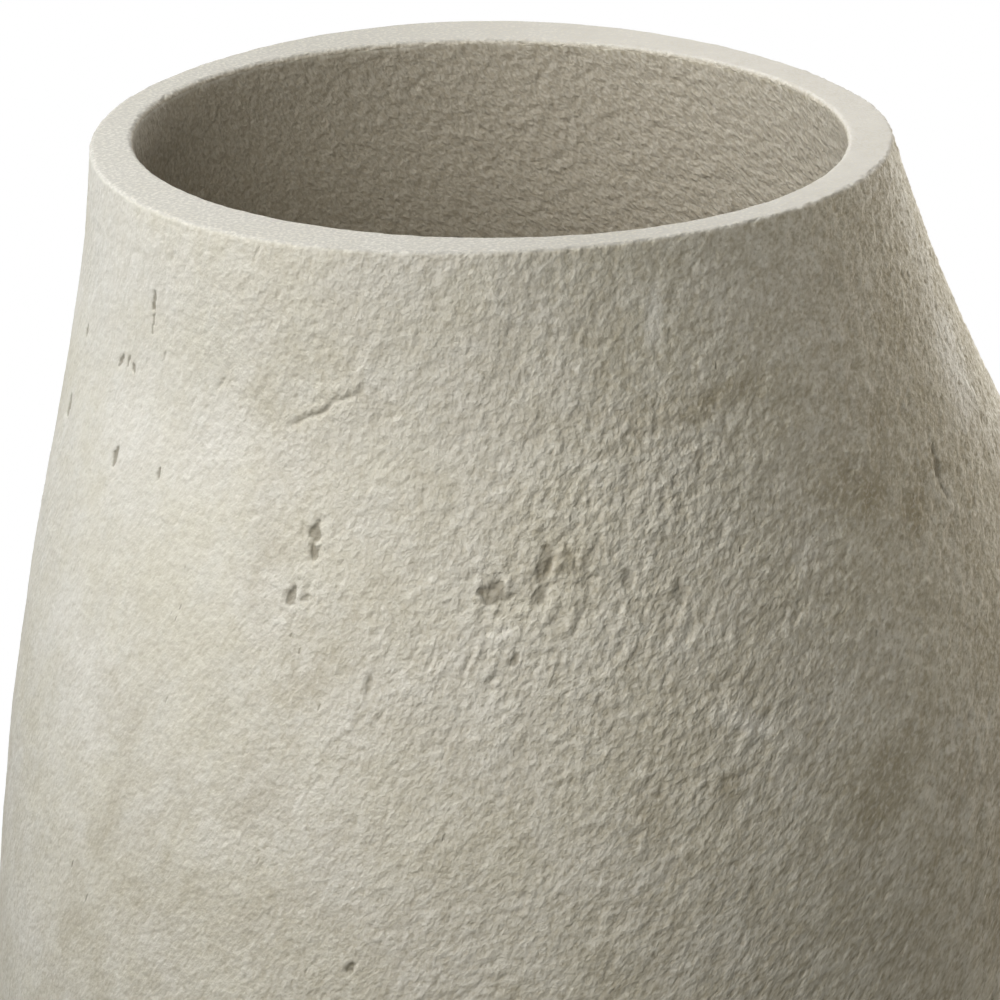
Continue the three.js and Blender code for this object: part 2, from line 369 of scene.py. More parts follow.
class Surface:
    """The points of the clay's mesh, ring by ring, and the faces between them with their UV places."""

    KEYS = ("radius", "bearing", "height", "outward", "upward", "zone")

    def __init__(self):
        self.parts = {key: [] for key in self.KEYS}
        self.count = 0
        self.corners = []
        self.corner_places = []

    def add_points(self, *values):
        """Points from one value, or one for each point, of every key. Returns their numbers."""
        size = max(np.size(value) for value in values)
        for key, value in zip(self.KEYS, values):
            self.parts[key].append(np.broadcast_to(value, size).astype(float))
        self.count += size
        return np.arange(self.count - size, self.count)

    def add_rings(self, profile, bearings, zones):
        """A ring of points for each point of a profile."""
        normals = profile_normals(profile)
        zones = np.broadcast_to(zones, len(profile))
        return [
            self.add_points(radius, bearings, height, *normal, zone)
            for (radius, height), normal, zone in zip(profile, normals, zones)
        ]

    def add_faces(self, corners, places):
        self.corners.append(np.stack(corners, 1))
        self.corner_places.append(np.stack(places, 1))

    def bridge(self, ring, following, ring_map, following_map):
        """Faces from one ring to the next along the profile, which may have half as many points."""
        turns = shares_of_turn(len(ring))
        first, second = ring_map(turns), following_map(turns)
        ring = np.append(ring, ring[0])
        following = np.append(following, following[0])
        if len(following) == len(ring):
            self.add_faces(
                (ring[:-1], ring[1:], following[1:], following[:-1]),
                (first[:-1], first[1:], second[1:], second[:-1]),
            )
            return
        start, middle, end = ring[:-1:2], ring[1::2], ring[2::2]
        left, right = following[:-1], following[1:]
        places = first[:-1:2], first[1::2], first[2::2], second[:-1:2], second[2::2]
        self.add_faces((start, middle, left), (places[0], places[1], places[3]))
        self.add_faces((middle, right, left), (places[1], places[4], places[3]))
        self.add_faces((middle, end, right), (places[1], places[2], places[4]))

    def bridge_all(self, rings, maps):
        for index in range(len(rings) - 1):
            self.bridge(rings[index], rings[index + 1], maps[index], maps[index + 1])

    def gather(self):
        for key in self.KEYS:
            setattr(self, key, np.concatenate(self.parts[key]))
        self.radius = self.radius + rim_reach(self.bearing) * self.rim_share()
        self.plain = np.column_stack([self.radius[:, None] * round_trip(self.bearing), self.height])
        self.plain[:, 0] += lean_at(self.height)
        self.grain = grain_place(self.bearing, self.radius, self.height, self.zone != INSIDE)

    def rim_share(self):
        """How much of the rim's waves each point takes, from the rim's inner edge outwards and down."""
        inner_edge = float(wall_radius(POT_HEIGHT, WALL)) + RIM_INNER_ROUNDING
        outer_edge = MOUTH_RADIUS - RIM_OUTER_ROUNDING
        across = np.clip((self.radius - inner_edge) / (outer_edge - inner_edge), 0, 1)
        down = ease_between(POT_HEIGHT - RIM_FADE, POT_HEIGHT, self.height)
        return across * down * (self.zone <= RIM)

    def pushed_out(self, relief):
        out = np.column_stack([self.outward[:, None] * round_trip(self.bearing), self.upward])
        return self.plain + relief[:, None] * out

    def around(self, bearing, height, lean):
        """Metres along and across a mark on the wall, from its place and its lean to the right."""
        side = wrapped(self.bearing - math.radians(bearing)) * float(wall_radius(height))
        up = (self.height - height) * math.sqrt(1 + float(wall_slope(height)) ** 2)
        cosine, sine = math.cos(math.radians(lean)), math.sin(math.radians(lean))
        return up * cosine + side * sine, side * cosine - up * sine


def column_bearings(count):
    """Directions round the pot in radians, crowded towards the front. The first stands at the back."""
    turn = np.linspace(0, 2 * math.pi, count, endpoint=False)
    return math.pi / 2 + turn + FRONT_CROWDING * np.sin(turn)


def shares_of_turn(count):
    return np.append(column_bearings(count) - math.pi / 2, 2 * math.pi) / (2 * math.pi)


def strip_map(height):
    """Places of a ring's points on one level of the UV map."""
    return lambda turns: pairs(MAP_EDGE + (1 - 2 * MAP_EDGE) * turns, height)


def on_disc(centre, reach, turn):
    """Places on the UV map round a centre, from a reach and a turn in radians."""
    return np.array(centre) + np.reshape(reach, (-1, 1)) * round_trip(turn)


def disc_map(centre, reach):
    return lambda turns: on_disc(centre, reach, 2 * math.pi * turns)


def strip_maps(profile, start):
    """Maps for a stretch of rings, as far apart as the rings are, and the level where they end."""
    steps = np.linalg.norm(np.diff(profile, axis=0, prepend=profile[:1]), axis=1)
    levels = start + MAP_SCALE * np.cumsum(steps)
    return [strip_map(level) for level in levels], levels[-1]


def add_walls(surface):
    """The outside, the rim, the inside and the recess. Returns the foot ring's two edges."""
    outside = outside_profile()
    on_rim = outside[:, 1] > POT_HEIGHT - RIM_OUTER_ROUNDING
    outer_rings = surface.add_rings(outside, column_bearings(COLUMNS), np.where(on_rim, RIM, OUTSIDE))
    outer_maps, level = strip_maps(outside, MAP_EDGE)
    surface.bridge_all(outer_rings, outer_maps)

    inside = inside_profile(outside[-1, 1])
    fine_count = int(np.sum(inside[:, 1] > POT_HEIGHT - INNER_FINE_DEPTH))
    half = column_bearings(COLUMNS // 2)
    fine_rings = surface.add_rings(inside[:fine_count], column_bearings(COLUMNS), INSIDE)
    deep_rings = surface.add_rings(inside[fine_count:], half, INSIDE)
    rings = [outer_rings[-1], *fine_rings, *deep_rings]
    profile = np.concatenate([outside[-1:], inside])
    flat_from = int(np.argmax(profile[:, 1] <= FLOOR_HEIGHT + TINY))
    inner_maps, level = strip_maps(profile[: flat_from + 1], level + MAP_GAP)
    surface.bridge_all(rings[: flat_from + 1], inner_maps)

    depth = FLOOR_HEIGHT - profile[flat_from:, 1]
    reaches = DISC_SCALE * (profile[flat_from:, 0] - HOLE_SHARE * depth)
    surface.bridge_all(rings[flat_from:], [disc_map(FLOOR_DISC, reach) for reach in reaches])

    recess = recess_profile()
    rings = [rings[-1], *surface.add_rings(recess, half, UNDER)]
    reaches = DISC_SCALE * np.append(DRAIN_RADIUS, recess[:, 0])
    surface.bridge_all(rings, [disc_map(FOOT_DISC, reach) for reach in reaches])
    return rings[-1], outer_rings[0]


def add_foot_ring(surface, inner_edge, outer_edge):
    """The foot ring's flat face, with a round socket for each pad."""
    ring_inner = FOOT_RADIUS - FOOT_RING_WIDTH
    reach = FOOT_RADIUS - FOOT_RING_WIDTH / 2
    turn = np.linspace(0, 2 * math.pi, SOCKET_SIDES, endpoint=False)
    loops = [inner_edge, outer_edge]
    places = [
        ring_inner * round_trip(column_bearings(len(inner_edge))),
        FOOT_RADIUS * round_trip(column_bearings(len(outer_edge))),
    ]
    centres = []
    for bearing in PAD_BEARINGS:
        centre = reach * round_trip(np.radians([bearing]))
        centres.append(centre[0])
        rims = []
        for height, shrink in ((FOOT_HEIGHT, 1), (FOOT_HEIGHT + SOCKET_DEPTH, SOCKET_MAP_SHRINK)):
            around = centre + SOCKET_RADIUS * round_trip(turn)
            rims.append((add_flat(surface, around, height), centre + shrink * (around - centre)))
        middle = add_flat(surface, centre, FOOT_HEIGHT + SOCKET_DEPTH)
        loops.append(rims[0][0])
        places.append(rims[0][1])
        (mouth, mouth_places), (depth, depth_places) = rims
        following = np.roll(np.arange(SOCKET_SIDES), -1)
        side_places = (mouth_places, depth_places, depth_places[following], mouth_places[following])
        surface.add_faces(
            (mouth, depth, depth[following], mouth[following]),
            [foot_map(part) for part in side_places],
        )
        hub = np.broadcast_to(centre, depth_places.shape)
        surface.add_faces(
            (depth, np.full(SOCKET_SIDES, middle[0]), depth[following]),
            [foot_map(part) for part in (depth_places, hub, depth_places[following])],
        )
    points = np.concatenate(places)
    edges = []
    first = 0
    for loop in loops:
        edges += [(first + i, first + (i + 1) % len(loop)) for i in range(len(loop))]
        first += len(loop)
    corners = [Vector(point) for point in points]
    _, _, faces, sources, _, _ = delaunay_2d_cdt(corners, edges, [], 0, JOINING_DISTANCE)
    triangles = np.array([[sources[corner][0] for corner in face] for face in faces])
    middles = points[triangles].mean(1)
    on_ring = np.hypot(*middles.T) > ring_inner
    clear = [np.hypot(*(middles - centre).T) > SOCKET_RADIUS for centre in centres]
    triangles = triangles[on_ring & np.all(clear, axis=0)][:, ::-1]
    ids = np.concatenate(loops)
    surface.add_faces(ids[triangles].T, [foot_map(points[corner]) for corner in triangles.T])


def add_flat(surface, places, height):
    bearings = np.arctan2(places[:, 1], places[:, 0])
    return surface.add_points(np.hypot(*places.T), bearings, height, 0, -1, UNDER)


def foot_map(places):
    turn = np.arctan2(places[:, 1], places[:, 0]) - math.pi / 2
    return on_disc(FOOT_DISC, DISC_SCALE * np.hypot(*places.T), turn)


# A pit, or with a negative depth a ridge, at a place on the wall, leaning to the right of upright
# Its last number darkens the pit with brown dirt and painted shade.
Mark = namedtuple("Mark", "bearing height lean length width depth dirt", defaults=[0.0])

# Marks that the photograph shows, from the middle of the torn clay outwards
MARKS = (
    (-94.7, 0.5005, 35, 0.008, 0.0066, 0.001, 0.8),
    (-93.6, 0.503, 35, 0.006, 0.0018, -0.0009),
    (-96.3, 0.4975, 30, 0.006, 0.003, -0.0005),
    (-88.6, 0.511, 22, 0.013, 0.0042, 0.0009, 0.7),
    (-89.8, 0.4995, 38, 0.008, 0.0045, 0.0007, 0.6),
    (-87.0, 0.513, 25, 0.011, 0.0022, -0.0006),
    (-84.2, 0.506, 20, 0.007, 0.004, 0.0007, 0.5),
    (-86.2, 0.487, 34, 0.01, 0.0013, 0.0009, 0.4),
    (-87.3, 0.4885, 34, 0.011, 0.0025, -0.0005),
    (-79.5, 0.505, 25, 0.006, 0.004, 0.0007, 0.5),
    (-74.0, 0.497, 20, 0.006, 0.0045, 0.0007, 0.5),
    (-98.5, 0.4715, 28, 0.0095, 0.0013, 0.0007, 0.4),
    (-97.7, 0.473, 28, 0.009, 0.0018, -0.0004),
    (-102.4, 0.4725, 20, 0.008, 0.0012, 0.0006, 0.3),
    (-93.3, 0.4735, 30, 0.0052, 0.0026, 0.0008, 0.8),
    (-96.2, 0.464, 32, 0.009, 0.0012, 0.0005, 0.3),
    (-109.4, 0.46, 15, 0.006, 0.0028, 0.0007, 0.5),
    (-108.3, 0.447, 32, 0.0085, 0.0013, 0.0006, 0.4),
    (-115.6, 0.518, 8, 0.006, 0.003, 0.0012, 0.9),
    (-115.9, 0.51, -8, 0.0055, 0.002, 0.001, 0.9),
    (-118.7, 0.4897, 15, 0.006, 0.003, 0.0012, 0.9),
    (-117.0, 0.4906, 45, 0.0045, 0.002, 0.0008, 0.6),
    (-111.8, 0.3378, 10, 0.0045, 0.0026, 0.0009, 0.7),
    (-141.4, 0.599, 18, 0.0055, 0.0012, 0.0006, 0.9),
    (-142.0, 0.5885, 14, 0.0095, 0.0012, 0.0005, 0.8),
    (-150.4, 0.5645, 38, 0.006, 0.0012, 0.0006, 0.9),
    (-148.4, 0.5665, 24, 0.005, 0.0014, 0.0006, 0.8),
    (-147.0, 0.5645, -8, 0.0044, 0.0014, 0.0006, 0.9),
    (-167.7, 0.5255, 16, 0.008, 0.0028, 0.0009, 1.0),
    (-149.5, 0.5234, 14, 0.0088, 0.0014, 0.0009, 1.0),
    (-140.0, 0.525, 10, 0.005, 0.0013, 0.0006, 0.9),
    (-136.6, 0.6213, 34, 0.0058, 0.0016, 0.0004, 0.3),
    (-134.0, 0.62, 26, 0.0045, 0.0013, 0.0004, 0.3),
    (-121.3, 0.6348, 28, 0.0045, 0.0012, 0.0005, 0.45),
    (-139.9, 0.5752, 30, 0.0042, 0.0014, 0.0004, 0.5),
    (-134.3, 0.5603, 30, 0.0044, 0.0013, 0.0004, 0.35),
    (-129.4, 0.5717, 38, 0.0075, 0.0016, 0.0005, 0.4),
    (-126.6, 0.5526, 32, 0.005, 0.0012, 0.0004, 0.3),
    (-163.5, 0.5655, 18, 0.005, 0.0016, 0.0005, 0.7),
    (-32.3, 0.5205, 18, 0.0085, 0.0034, 0.001, 0.7),
    (-32.8, 0.511, -12, 0.007, 0.0024, 0.0009, 0.6),
)

# A crack through places on the wall, with a lip along its left side, or with a negative depth a ridge
# Its last number darkens the crack with brown dirt and painted shade.
Line = namedtuple("Line", "places width depth lip dirt", defaults=[0.0, 0.0])

CRACK = [
    (-119.6, 0.5575),
    (-118.9, 0.5605),
    (-116.2, 0.5655),
    (-113.9, 0.5688),
    (-112.6, 0.5735),
    (-109.6, 0.5770),
    (-107.9, 0.5812),
]
LINES = [
    Line(CRACK, 0.0011, 0.0010, 0.0005, 0.5),
    Line([(-124.5, 0.566), (-122.5, 0.574), (-120.8, 0.585)], 0.0011, 0.0004, 0.0002, 0.2),
    Line([(-133.6, 0.5450), (-132.4, 0.5535), (-130.6, 0.5480)], 0.0012, -0.0004),
    Line(
        [(-74.2, 0.4586), (-71.8, 0.4516), (-69.6, 0.4424), (-67.3, 0.4341), (-65.0, 0.4253)],
        0.0020,
        -0.0008,
    ),
    Line([(-34.0, 0.5030), (-38.5, 0.4900), (-42.4, 0.4800), (-44.6, 0.4680)], 0.0018, -0.0006),
]

# An oval on the wall, leaning to the right of upright, with a strength that fades from its middle
Patch = namedtuple("Patch", "bearing height lean length width strength")

# Where the clay's skin is torn into lumps
TORN = [
    Patch(-84, 0.505, 40, 0.100, 0.068, 1.0),
    Patch(-72, 0.528, 50, 0.085, 0.045, 0.75),
    Patch(-112, 0.575, 55, 0.040, 0.016, 0.45),
    Patch(-117, 0.502, 20, 0.040, 0.024, 0.45),
    Patch(-101, 0.465, 40, 0.065, 0.036, 0.45),
    Patch(-72, 0.445, 70, 0.095, 0.050, 0.5),
    Patch(-55, 0.500, 60, 0.120, 0.060, 0.4),
]

# Paler patches, and browner ones with a negative strength. Among the pale ones, two at the right edge and
# one along a ridge carry painted light.
TONES_AND_PAINTED_LIGHT = [
    Patch(-63, 0.572, 82, 0.056, 0.013, -0.30),
    Patch(-42, 0.512, 70, 0.050, 0.026, -0.28),
    Patch(-48, 0.540, 60, 0.110, 0.060, -0.24),
    Patch(-88, 0.509, 70, 0.036, 0.016, -0.30),
    Patch(-60, 0.400, 60, 0.120, 0.070, -0.20),
    Patch(-128, 0.400, 60, 0.170, 0.090, -0.20),
    Patch(-94.5, 0.483, 50, 0.014, 0.010, 0.5),
    # A painted highlight along the raised ridge that runs down to the right
    Patch(-69, 0.441, 125, 0.035, 0.010, 0.6),
    Patch(-69.2, 0.6080, 14, 0.030, 0.008, 0.8),
    # Paler clay at the right edge, partly painted light as from a lamp behind on the right
    Patch(-17, 0.550, 20, 0.050, 0.034, 0.9),
    # Painted light at the right edge under the rim, as from a lamp behind on the right
    Patch(-12, 0.605, 0, 0.045, 0.030, 0.45),
]

# How fast a patch fades from its middle, and a distance past any mark
PATCH_FALL = 2.5
FAR_AWAY = 1e3


def patch_strength(surface, patch):
    along, across = surface.around(patch.bearing, patch.height, patch.lean)
    reach = (along / patch.length) ** 2 + (across / patch.width) ** 2
    return patch.strength * np.exp(-PATCH_FALL * reach)


def along_line(surface, line):
    """Signed distance from a line through places on the wall, left positive, and how near its ends are."""
    start_bearing, start_height = line.places[0]
    up, side = surface.around(start_bearing, start_height, 0)
    near = np.full(len(up), FAR_AWAY)
    signed = np.full(len(up), FAR_AWAY)
    share = np.zeros(len(up))
    radius = float(wall_radius(start_height))
    stretch = math.sqrt(1 + float(wall_slope(start_height)) ** 2)
    knots = [
        np.array([math.radians(bearing - start_bearing) * radius, (height - start_height) * stretch])
        for bearing, height in line.places
    ]
    for index, (first, second) in enumerate(zip(knots[:-1], knots[1:])):
        way = second - first
        length = np.linalg.norm(way)
        way = way / length
        from_first = np.stack([side, up], 1) - first
        t = np.clip(from_first @ way, 0, length)
        gap = np.linalg.norm(from_first - t[:, None] * way, axis=1)
        left = way[0] * from_first[:, 1] - way[1] * from_first[:, 0]
        nearer = gap < near
        near = np.where(nearer, gap, near)
        signed = np.where(nearer, np.where(left > 0, gap, -gap), signed)
        share = np.where(nearer, (index + t / length) / (len(knots) - 1), share)
    return signed, np.sqrt(np.clip(4 * share * (1 - share), 0, 1))


# A pair here is the two values between which something grows from none to all of it. The wall, the
# rim's flat and the inside meet by the direction out of the clay.
SIDEWAYS = (0.1, 0.7)
UPWARDS = (0.3, 0.9)
WALL_START = (FOOT_HEIGHT, 0.03)
INSIDE_START = (0.034, 0.05)

# The bearing in the middle of the photograph, and how far round from it the wall goes out of sight
SEEN_BEARING = -92
OUT_OF_SIGHT = (60, 90)

# How the torn patches are sharpened and broken up, and where the clay is torn out of sight
TORN_GAIN = 1.7
BREAKUP_CELL = 0.022
BREAKUP_MIDDLE = 0.75
BREAKUP_SWING = 0.45
ELSEWHERE_CELL = 0.13
ELSEWHERE = (0.15, 0.7)
ELSEWHERE_SHARE = 0.7

# Broad paler and browner parts, and how brown the clay and its hollows are: least at a bearing, where the
# photograph's left side is, and more low down. The browning is partly the clay's own colour and partly
# painted shade, on the side away from the lamps and towards the bottom.
TONE_CELL = 0.11
TONE_SWING = 0.25
PALEST_BEARING = -160
BROWN_MIDDLE = 0.40
BROWN_SWING = 0.32
BROWN_BELOW = 0.15
BROWN_FADE = (0.28, 0.55)

# How strong the grain is: most at a bearing, on torn clay and inside
GRIT_MIDDLE = 0.62
GRIT_SWING = 0.28
GRITTIEST_BEARING = -40
TORN_GRIT = 0.25
INSIDE_GRIT = 1.10

# The sizes and weights of the noise that cuts flakes out of the clay's skin, of the lumps and the round
# bulges on it, of the granules inside, and of the marks' ragged edges
FLAKE_CELLS = ((0.0130, 0.50), (0.0065, 0.70), (0.0034, 0.60))
LUMP_CELLS = ((0.0092, 0.42), (0.0053, 0.82), (0.0031, 0.95))
BULGE_CELLS = ((0.0098, 1.0), (0.0056, 0.7))
GRANULE_CELLS = ((0.0110, 0.2), (0.0060, 0.6), (0.0038, 0.9))
RAGGED_CELLS = ((0.0045, 0.45), (0.0024, 0.35))
FLAKE_DRIFT_CELL = 0.030
FLAKE_DRIFT = 0.5
FLAKE_EDGE = (-0.12, 0.20)

# How high each of them stands out of the plain form, with two broader waves and the rim's own
SWELL_CELL = 0.15
SWELL_HEIGHT = 0.00030
RIPPLE_CELL = 0.034
RIPPLE_HEIGHT = 0.00026
FLAKE_HEIGHT = 0.00034
LUMP_HEIGHT = 0.00022
BULGE_HEIGHT = 0.00042
GRANULE_HEIGHT = 0.00042
RIM_CELL = 0.010
RIM_HEIGHT = 0.00017

# What is left of the flakes' height where the skin is whole, and the share of the lumps' and the bulges'
# height everywhere, on the shaded side and on torn clay
WHOLE_SKIN = 0.28
LUMP_SHARES = (0.42, 1.90, 0.85)
BULGE_SHARES = (0.08, 0.50, 0.85)
SHADED_BEARING = -15
FAR_SIDE = (-78, -40)
FAR_SIDE_GAIN = 0.38

# A mark's edge, in shares of its size, and a crack's lip, in crack widths
MARK_EDGE = (0.45, 1.0)
LIP_DISTANCE = 2.2
LIP_WIDTH = 1.6


def noise_of_sizes(points, sizes, seed, form=np.asarray):
    layers = enumerate(sizes, seed)
    return sum(weight * form(gradient_noise(points, cell, key)) for key, (cell, weight) in layers)


def mark_clay(surface, wall):
    """How deep the marks and lines lie in the wall, and how much brown dirt and painted shade darken them.
    """
    depths = np.zeros(surface.count)
    dirt = np.zeros(surface.count)
    ragged = 1 + noise_of_sizes(surface.grain, RAGGED_CELLS, 71)
    for mark in (Mark(*values) for values in MARKS):
        along, across = surface.around(mark.bearing, mark.height, mark.lean)
        reach = np.hypot(along / mark.length, across / mark.width) * ragged
        share = (1 - ease_between(*MARK_EDGE, reach)) * wall
        depths += mark.depth * share
        dirt = np.maximum(dirt, mark.dirt * share)
    for line in LINES:
        signed, nearness = along_line(surface, line)
        nearness = nearness * wall
        crack = np.exp(-((signed / line.width) ** 2)) * nearness
        from_lip = (signed - LIP_DISTANCE * line.width) / (LIP_WIDTH * line.width)
        depths += line.depth * crack - line.lip * np.exp(-(from_lip**2)) * nearness
        dirt = np.maximum(dirt, line.dirt * crack)
    return depths, dirt


def shape_clay(surface):
    """How far each point stands out of the plain form, and the strengths that the material reads."""
    wall = (surface.zone <= RIM) * ease_between(*SIDEWAYS, surface.outward)
    wall = wall * ease_between(*WALL_START, surface.height)
    inner = (surface.zone == INSIDE) * ease_between(*INSIDE_START, surface.radius)
    inner += (surface.zone == RIM) * ease_between(*SIDEWAYS, -surface.outward)
    rim = (surface.zone <= RIM) * ease_between(*UPWARDS, surface.upward)
    inner_wall = inner * (1 - rim)
    bearing = np.degrees(wrapped(surface.bearing))
    unseen = ease_between(*OUT_OF_SIGHT, np.abs(bearing - SEEN_BEARING))

    torn = np.zeros(surface.count)
    for patch in TORN:
        torn = np.maximum(torn, patch_strength(surface, patch))
    torn = np.clip(TORN_GAIN * torn, 0, 1) * wall
    elsewhere = ease_between(*ELSEWHERE, gradient_noise(surface.plain, ELSEWHERE_CELL, 5))
    torn = np.maximum(torn, ELSEWHERE_SHARE * elsewhere * unseen * wall)
    breakup = BREAKUP_MIDDLE + BREAKUP_SWING * gradient_noise(surface.grain, BREAKUP_CELL, 6)
    torn = np.clip(torn * breakup, 0, 1)

    tone_and_painted_light = TONE_SWING * gradient_noise(surface.plain, TONE_CELL, 7)
    for patch in TONES_AND_PAINTED_LIGHT:
        tone_and_painted_light += patch_strength(surface, patch) * (surface.zone == OUTSIDE)
    grit = GRIT_MIDDLE + GRIT_SWING * np.cos(surface.bearing - math.radians(GRITTIEST_BEARING))
    grit = (grit + TORN_GRIT * torn) * wall + INSIDE_GRIT * inner
    brown_and_shade = BROWN_MIDDLE - BROWN_SWING * np.cos(surface.bearing - math.radians(PALEST_BEARING))
    brown_and_shade += BROWN_BELOW * (1 - ease_between(*BROWN_FADE, surface.height))

    grain = surface.grain
    drift = FLAKE_DRIFT * gradient_noise(surface.plain, FLAKE_DRIFT_CELL, 33)
    flake = noise_of_sizes(grain, FLAKE_CELLS, 21) + drift
    shaded_side = (0.5 + 0.5 * np.cos(surface.bearing - math.radians(SHADED_BEARING))) ** 2
    shaded_side = shaded_side * (1 + FAR_SIDE_GAIN * ease_between(*FAR_SIDE, bearing) * (1 - unseen))
    skin = WHOLE_SKIN + (1 - WHOLE_SKIN) * torn
    relief = wall * SWELL_HEIGHT * gradient_noise(surface.plain, SWELL_CELL, 11)
    relief += wall * RIPPLE_HEIGHT * layered_noise(grain, RIPPLE_CELL, 12, 2)
    relief += wall * FLAKE_HEIGHT * skin * ease_between(*FLAKE_EDGE, flake)
    for height, sizes, seed, form, (everywhere, shaded, on_torn) in (
        (LUMP_HEIGHT, LUMP_CELLS, 41, np.asarray, LUMP_SHARES),
        (BULGE_HEIGHT, BULGE_CELLS, 45, np.abs, BULGE_SHARES),
    ):
        share = everywhere + shaded * shaded_side + on_torn * torn
        relief += wall * share * height * noise_of_sizes(grain, sizes, seed, form)
    relief += inner_wall * GRANULE_HEIGHT * noise_of_sizes(surface.plain, GRANULE_CELLS, 51)
    relief += rim * RIM_HEIGHT * layered_noise(surface.plain, RIM_CELL, 61, 2)
    depths, dirt = mark_clay(surface, wall)
    strengths = dict(torn=torn, tone_and_painted_light=tone_and_painted_light, grit=grit, flake=flake, brown_and_shade=brown_and_shade, dirt=dirt, rim=rim)
    return relief - depths, strengths | {"inside": inner_wall}


def object_from(name, points, corners, corner_places=None):
    """An object with smooth faces, from arrays of triangles and of four-sided faces."""
    mesh = bpy.data.meshes.new(name)
    sizes = np.concatenate([np.full(len(part), part.shape[1]) for part in corners])
    starts = np.concatenate([[0], np.cumsum(sizes)[:-1]])
    ids = np.concatenate([part.ravel() for part in corners])
    mesh.vertices.add(len(points))
    mesh.vertices.foreach_set("co", np.ravel(points).astype(np.float32))
    mesh.loops.add(len(ids))
    mesh.loops.foreach_set("vertex_index", ids.astype(np.int32))
    mesh.polygons.add(len(sizes))
    mesh.polygons.foreach_set("loop_start", starts.astype(np.int32))
    mesh.update(calc_edges=True)
    mesh.validate()
    mesh.polygons.foreach_set("use_smooth", np.ones(len(mesh.polygons), bool))
    if corner_places is not None:
        uv = mesh.uv_layers.new(name="OFBake")
        places = np.concatenate([part.ravel() for part in corner_places])
        uv.data.foreach_set("uv", places.astype(np.float32))
    made = bpy.data.objects.new(name, mesh)
    bpy.context.collection.objects.link(made)
    return made


def clay_pot():
    surface = Surface()
    inner_edge, outer_edge = add_walls(surface)
    add_foot_ring(surface, inner_edge, outer_edge)
    surface.gather()
    relief, strengths = shape_clay(surface)
    made = object_from("clay_pot", surface.pushed_out(relief), surface.corners, surface.corner_places)
    place = made.data.attributes.new("grain_place", "FLOAT_VECTOR", "POINT")
    place.data.foreach_set("vector", surface.grain.ravel().astype(np.float32))
    for name, values in strengths.items():
        attribute = made.data.attributes.new(name, "FLOAT", "POINT")
        attribute.data.foreach_set("value", values.astype(np.float32))
    return made


def lathe(name, profile, sides, centre=(0, 0, 0)):
    """A closed turned solid from a profile of radius and height that starts and ends on the axis."""
    turn = np.linspace(0, 2 * math.pi, sides, endpoint=False)
    rings = profile[1:-1]
    points = [[0, 0, profile[0][1]], [0, 0, profile[-1][1]]]
    for radius, height in rings:
        points += np.column_stack([radius * round_trip(turn), np.full(sides, height)]).tolist()
    j = np.arange(sides)
    k = (j + 1) % sides
    triangles = [np.stack([np.zeros(sides, int), 2 + k, 2 + j], 1)]
    last = 2 + (len(rings) - 1) * sides
    triangles.append(np.stack([last + j, last + k, np.ones(sides, int)], 1))
    quads = []
    for index in range(len(rings) - 1):
        low, high = 2 + index * sides, 2 + (index + 1) * sides
        quads.append(np.stack([low + j, low + k, high + k, high + j], 1))
    return object_from(name, np.array(points) + np.array(centre), triangles + quads)


def node(tree, kind, inputs=None, **settings):
    made = tree.nodes.new("ShaderNode" + kind)
    for name, value in settings.items():
        setattr(made, name, value)
    for key, value in (inputs or {}).items():
        if isinstance(value, bpy.types.NodeSocket):
            tree.links.new(value, made.inputs[key])
        else:
            made.inputs[key].default_value = value
    return made


def maths(tree, operation, first, second=0.0, third=0.0):
    return node(tree, "Math", {0: first, 1: second, 2: third}, operation=operation).outputs[0]


def centred(tree, value):
    """Noise about nothing, so that a bump made of it leaves no step where its strength changes."""
    return maths(tree, "SUBTRACT", value, 0.5)


def mixed(tree, share, first, second):
    return node(tree, "Mix", {0: share, 6: first, 7: second}, data_type="RGBA").outputs[2]


def ranged(tree, value, low, high, to_low=0.0, to_high=1.0):
    inputs = {"Value": value, "From Min": low, "From Max": high, "To Min": to_low, "To Max": to_high}
    return node(tree, "MapRange", inputs, interpolation_type="SMOOTHSTEP").outputs[0]


def noise(tree, place, scale, detail, roughness):
    inputs = {"Vector": place, "Scale": scale, "Detail": detail, "Roughness": roughness}
    return node(tree, "TexNoise", inputs).outputs[0]


def strength(tree, name):
    return node(tree, "Attribute", attribute_name=name).outputs["Fac"]


def shade(red, green, blue):
    """A colour as screens write it, from 0 to 255, for a shader."""
    parts = [value / 255 for value in (red, green, blue)]
    return (*[v / 12.92 if v <= 0.04045 else ((v + 0.055) / 1.055) ** 2.4 for v in parts], 1.0)


def new_material(name):
    material = bpy.data.materials.new(name)
    material.use_nodes = True
    tree = material.node_tree
    return material, tree, tree.nodes["Principled BSDF"]


PALE_CLAY = shade(223, 221, 214)
WARM_CLAY = shade(216, 213, 201)
COOL_CLAY = shade(215, 214, 207)
TAN_CLAY = shade(203, 193, 169)
BROWN_CLAY = shade(166, 156, 132)
LIGHT_CLAY_AND_PAINTED_LIGHT = shade(234, 231, 222)
SANDY_CLAY = shade(208, 202, 189)
SANDY_HOLLOW = shade(191, 183, 167)
RIM_CLAY = shade(184, 182, 176)
# The rim's painted light, on its side away from the lamps
RIM_PAINTED_LIGHT_CLAY = shade(219, 216, 210)
# Brown dirt and painted shade in the pits, cracks and strokes
DIRT_AND_PIT_SHADE = shade(124, 116, 98)

# Each noise's cells to the metre, its finer layers and their weight
CLOUD_NOISE = (16.0, 5.0, 0.6)
PATCH_NOISE = (38.0, 5.0, 0.60)
BLOTCH_NOISE = (60.0, 6.0, 0.65)
STROKE_PLACE_NOISE = (26.0, 2.0, 0.5)
FLAKE_EDGE_NOISE = (320.0, 3.0, 0.60)
COARSE_NOISE = (270.0, 2.0, 0.50)
FINE_NOISE = (560.0, 2.0, 0.55)

